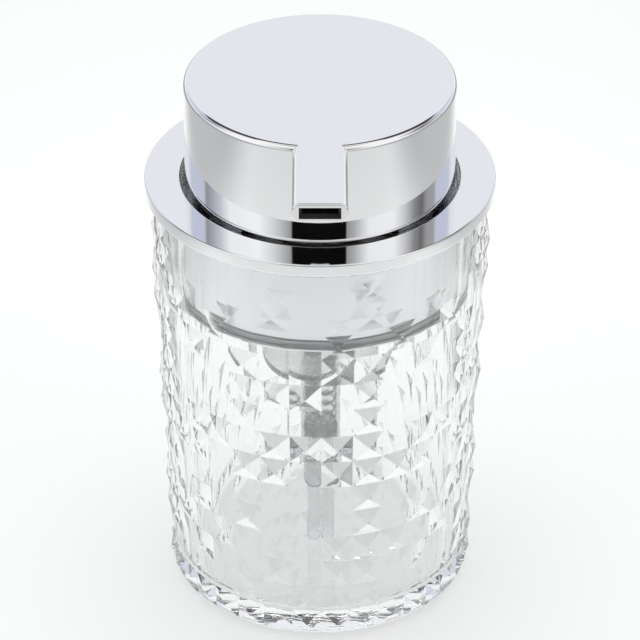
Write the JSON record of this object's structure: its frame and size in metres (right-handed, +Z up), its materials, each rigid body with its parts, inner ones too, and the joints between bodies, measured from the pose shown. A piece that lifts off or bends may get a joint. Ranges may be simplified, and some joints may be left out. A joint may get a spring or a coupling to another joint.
{
  "type": "soap pump dispenser",
  "caption": "Foaming soap pump dispenser: clear faceted round bottle, chrome push-in lid and broad chrome push button with a flat spout, over a foam pump.",
  "frame": {"origin": "centre of the bottle's flat underside", "axes": "+Z up along the bottle's axis, -Y towards the spout's mouth, +X to the right seen from the spout"},
  "size_m": [0.078, 0.0918, 0.1276],
  "materials": {
    "clear_glass": "polished",
    "chrome_plate": "polished",
    "clear_silicone": "satin",
    "white_rubber": "matte",
    "milky_plastic": "satin",
    "white_plastic": "satin",
    "clear_tube": "gloss",
    "steel_ball": "polished",
    "spring_steel": "satin",
    "fine_mesh": "matte",
    "dark_plastic": "satin"
  },
  "bodies": {
    "bottle": {"bottle": "clear_glass"},
    "lid": {"lid_cover": "chrome_plate", "lid_cup": "chrome_plate", "lid_seal": "clear_silicone", "housing_gasket": "white_rubber", "pump_housing": "milky_plastic", "guide_cap": "white_plastic", "ball_cage": "white_plastic", "dip_tube": "clear_tube"},
    "spring": {"return_spring": "spring_steel"},
    "head": {"button_shell": "chrome_plate", "button_core": "white_plastic", "outlet_duct": "dark_plastic", "mesh_cartridge": "white_plastic", "lower_mesh": "fine_mesh", "upper_mesh": "fine_mesh", "piston_stem": "white_plastic", "air_piston": "white_plastic", "air_valve": "white_rubber", "liquid_piston": "white_plastic"},
    "suction_ball": {"suction_ball": "steel_ball"},
    "discharge_ball": {"discharge_ball": "steel_ball"}
  },
  "joints": [
    {"name": "lid_lift", "type": "slide", "parent": "bottle", "child": "lid", "axis": [0, 0, 1], "range_m": [0, 0.13]},
    {"name": "head_swivel", "type": "hinge", "parent": "lid", "child": "spring", "pos_m": [0, 0, 0.09], "axis": [0, 0, 1], "continuous": true},
    {"name": "pump_press", "type": "slide", "parent": "spring", "child": "head", "axis": [0, 0, -1], "range_m": [0, 0.014], "stiffness_N_per_m": 800, "springref_m": -0.01, "deforming": ["return_spring"]},
    {"name": "suction_ball_lift", "type": "slide", "parent": "lid", "child": "suction_ball", "axis": [0, 0, 1], "range_m": [0, 0.0012]},
    {"name": "discharge_ball_lift", "type": "slide", "parent": "head", "child": "discharge_ball", "axis": [0, 0, 1], "range_m": [0, 0.0012]}
  ]
}
